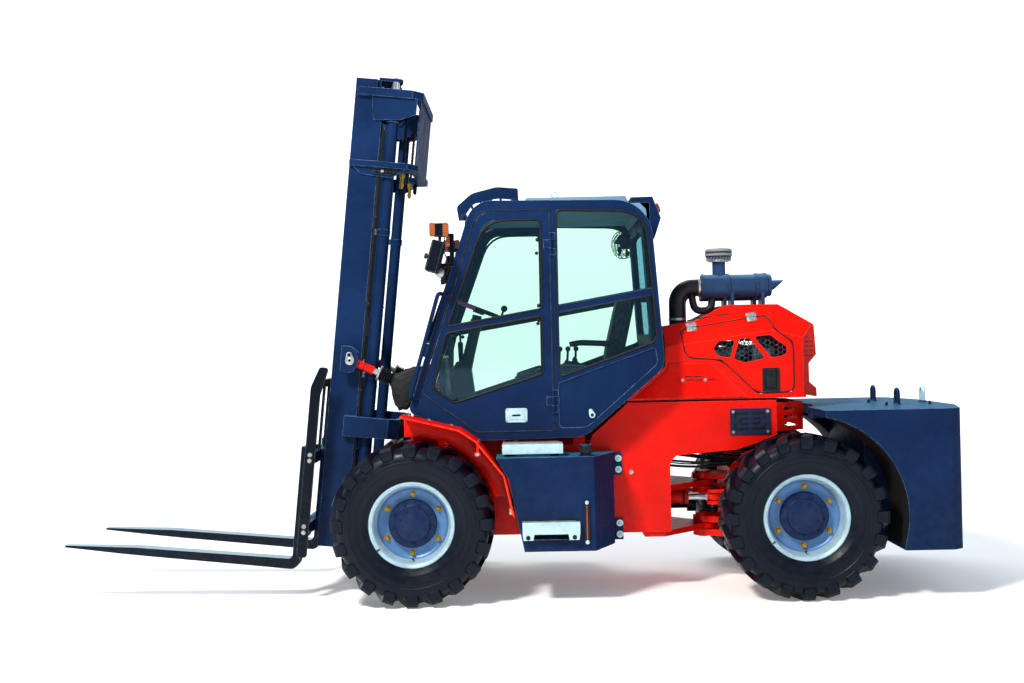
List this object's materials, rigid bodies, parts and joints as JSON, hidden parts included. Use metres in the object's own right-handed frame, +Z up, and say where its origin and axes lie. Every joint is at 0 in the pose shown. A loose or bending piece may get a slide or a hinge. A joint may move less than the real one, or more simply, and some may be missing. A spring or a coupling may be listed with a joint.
{
  "type": "articulated rough terrain forklift",
  "caption": "Articulated rough terrain forklift with a two-stage mast, enclosed cab, rear engine under a folding-door hood and large lug tyres.",
  "frame": {"origin": "on the ground under the middle of the machine's bounding box", "axes": "+X forward to the forks, +Y to the machine's left, +Z up"},
  "size_m": [6.2007, 1.9484, 3.5705],
  "materials": {
    "navy_paint": "satin",
    "red_paint": "satin",
    "black_paint": "satin",
    "roof_skin": "satin",
    "galvanised": "matt",
    "chromed_rod": "polished",
    "chain_steel": "oiled",
    "rim_paint": "satin",
    "tyre_rubber": "matt",
    "rubber": "matt",
    "leather": "matt",
    "seat_cloth": "matt",
    "black_plastic": "matt",
    "green_glass": "clear"
  },
  "bodies": {
    "front_frame": {"front_chassis": "red_paint", "front_axle": "black_paint", "driveshaft": "black_paint", "front_fenders": "red_paint", "fuel_tank": "navy_paint", "hydraulic_tank": "navy_paint", "side_steps": "galvanised", "engine": "black_paint", "hood": "red_paint", "air_cleaner": "black_plastic", "muffler": "black_paint", "intake_hose": "rubber", "cab_left_side": "navy_paint", "cab_right_side": "navy_paint", "cab_tub": "navy_paint", "cab_rear_wall": "navy_paint", "cab_roof": "roof_skin", "cab_front": "navy_paint", "cab_glass": "green_glass", "roof_guard": "navy_paint", "rear_light_box": "navy_paint", "headlamps": "black_plastic", "seat": "seat_cloth", "console": "black_plastic"},
    "front_left_wheel": {"front_left_tyre": "tyre_rubber", "front_left_rim": "rim_paint"},
    "front_right_wheel": {"front_right_tyre": "tyre_rubber", "front_right_rim": "rim_paint"},
    "rear_left_wheel": {"rear_left_tyre": "tyre_rubber", "rear_left_rim": "rim_paint"},
    "rear_right_wheel": {"rear_right_tyre": "tyre_rubber", "rear_right_rim": "rim_paint"},
    "rear_frame": {"rear_chassis": "red_paint", "rear_axle": "black_paint", "counterweight": "navy_paint"},
    "mast_outer": {"outer_mast": "navy_paint", "lift_cylinders": "navy_paint"},
    "mast_inner": {"inner_mast": "navy_paint", "lift_rods": "chromed_rod", "lift_chains": "chain_steel"},
    "fork_carriage": {"carriage": "navy_paint", "backrest": "black_paint"},
    "fork_left": {"left_fork": "black_paint"},
    "fork_right": {"right_fork": "black_paint"},
    "tilt_cylinders": {"tilt_barrels": "navy_paint", "tilt_covers": "leather", "tilt_boots": "rubber"},
    "tilt_cylinder_rods": {"tilt_rods": "chromed_rod"},
    "steer_cylinder_left": {"left_steer_barrel": "black_paint"},
    "steer_cylinder_right": {"right_steer_barrel": "black_paint"},
    "steer_rod_left": {"left_steer_rod": "chromed_rod"},
    "steer_rod_right": {"right_steer_rod": "chromed_rod"},
    "door_left": {"left_door": "navy_paint", "left_door_glass": "green_glass"},
    "door_right": {"right_door": "navy_paint", "right_door_glass": "green_glass"},
    "engine_door_left": {"left_engine_door": "red_paint"},
    "engine_door_right": {"right_engine_door": "red_paint"},
    "wheel_of_steering": {"steering_wheel": "black_plastic"}
  },
  "joints": [
    {"name": "articulation", "type": "hinge", "parent": "front_frame", "child": "rear_frame", "pos_m": [-1.3606, 0, 0.54], "axis": [0, 0, 1], "range_deg": [-35, 35]},
    {"name": "mast_tilt", "type": "hinge", "parent": "front_frame", "child": "mast_outer", "pos_m": [1.05978, 0, 0.51268], "axis": [0, 1, 0], "range_deg": [-4, 11]},
    {"name": "mast_lift", "type": "slide", "parent": "mast_outer", "child": "mast_inner", "axis": [-0.1045, 0, 0.9945], "range_m": [-0.045, 2.2], "deforming": ["lift_chains"]},
    {"name": "carriage_lift", "type": "slide", "parent": "mast_inner", "child": "fork_carriage", "axis": [-0.1045, 0, 0.9945], "range_m": [-0.045, 2.2]},
    {"name": "fork_left_shift", "type": "slide", "parent": "fork_carriage", "child": "fork_left", "axis": [0, -1, 0], "range_m": [-0.13, 0.3]},
    {"name": "fork_right_shift", "type": "slide", "parent": "fork_carriage", "child": "fork_right", "axis": [0, 1, 0], "range_m": [-0.13, 0.3]},
    {"name": "tilt_cylinder_swing", "type": "hinge", "parent": "front_frame", "child": "tilt_cylinders", "pos_m": [0.5844, 0, 1.382], "axis": [0, 1, 0], "range_deg": [-3.3, 9]},
    {"name": "tilt_rod_slide", "type": "slide", "parent": "tilt_cylinders", "child": "tilt_cylinder_rods", "axis": [0.9045, 0, 0.4264], "range_m": [-0.069, 0.189], "deforming": ["tilt_boots"]},
    {"name": "steer_swing_left", "type": "hinge", "parent": "front_frame", "child": "steer_cylinder_left", "pos_m": [-0.7606, 0.19, 0.607], "axis": [0, 0, 1], "range_deg": [-2.95, 2.95]},
    {"name": "steer_swing_right", "type": "hinge", "parent": "front_frame", "child": "steer_cylinder_right", "pos_m": [-0.7606, -0.19, 0.607], "axis": [0, 0, 1], "range_deg": [-2.95, 2.95]},
    {"name": "steer_rod_slide_left", "type": "slide", "parent": "steer_cylinder_left", "child": "steer_rod_left", "axis": [-0.9999, 0.0152, 0], "range_m": [-0.118, 0.118]},
    {"name": "steer_rod_slide_right", "type": "slide", "parent": "steer_cylinder_right", "child": "steer_rod_right", "axis": [-0.9999, -0.0152, 0], "range_m": [-0.118, 0.118]},
    {"name": "door_left_hinge", "type": "hinge", "parent": "front_frame", "child": "door_left", "pos_m": [-0.2876, 0.664, 1.8], "axis": [0, 0, 1], "range_deg": [0, 170]},
    {"name": "door_right_hinge", "type": "hinge", "parent": "front_frame", "child": "door_right", "pos_m": [-0.2876, -0.664, 1.8], "axis": [0, 0, -1], "range_deg": [0, 170]},
    {"name": "engine_door_left_hinge", "type": "hinge", "parent": "front_frame", "child": "engine_door_left", "pos_m": [-1.4656, 0.37, 1.8425], "axis": [0.9894, 0, -0.1451], "range_deg": [0, 75]},
    {"name": "engine_door_right_hinge", "type": "hinge", "parent": "front_frame", "child": "engine_door_right", "pos_m": [-1.4656, -0.37, 1.8425], "axis": [-0.9894, 0, 0.1451], "range_deg": [0, 75]},
    {"name": "front_left_spin", "type": "hinge", "parent": "front_frame", "child": "front_left_wheel", "pos_m": [0.6594, 0.77, 0.54], "axis": [0, 1, 0], "continuous": true},
    {"name": "front_right_spin", "type": "hinge", "parent": "front_frame", "child": "front_right_wheel", "pos_m": [0.6594, -0.77, 0.54], "axis": [0, 1, 0], "continuous": true},
    {"name": "rear_left_spin", "type": "hinge", "parent": "rear_frame", "child": "rear_left_wheel", "pos_m": [-1.9156, 0.77, 0.54], "axis": [0, 1, 0], "continuous": true},
    {"name": "rear_right_spin", "type": "hinge", "parent": "rear_frame", "child": "rear_right_wheel", "pos_m": [-1.9156, -0.77, 0.54], "axis": [0, 1, 0], "continuous": true},
    {"name": "steering_wheel_spin", "type": "hinge", "parent": "front_frame", "child": "wheel_of_steering", "pos_m": [0.2224, 0, 1.963], "axis": [-0.3665, 0, 0.9304], "continuous": true}
  ],
  "couplings": [
    {"joint": "carriage_lift", "follows": "mast_lift", "ratio": 1},
    {"joint": "tilt_cylinder_swing", "follows": "mast_tilt", "ratio": 0.8159},
    {"joint": "tilt_rod_slide", "follows": "mast_tilt", "m_per_rad": 0.9825},
    {"joint": "steer_swing_left", "follows": "articulation", "ratio": 0.0832},
    {"joint": "steer_swing_right", "follows": "articulation", "ratio": 0.0832},
    {"joint": "steer_rod_slide_left", "follows": "articulation", "m_per_rad": 0.1927},
    {"joint": "steer_rod_slide_right", "follows": "articulation", "m_per_rad": -0.1927}
  ]
}
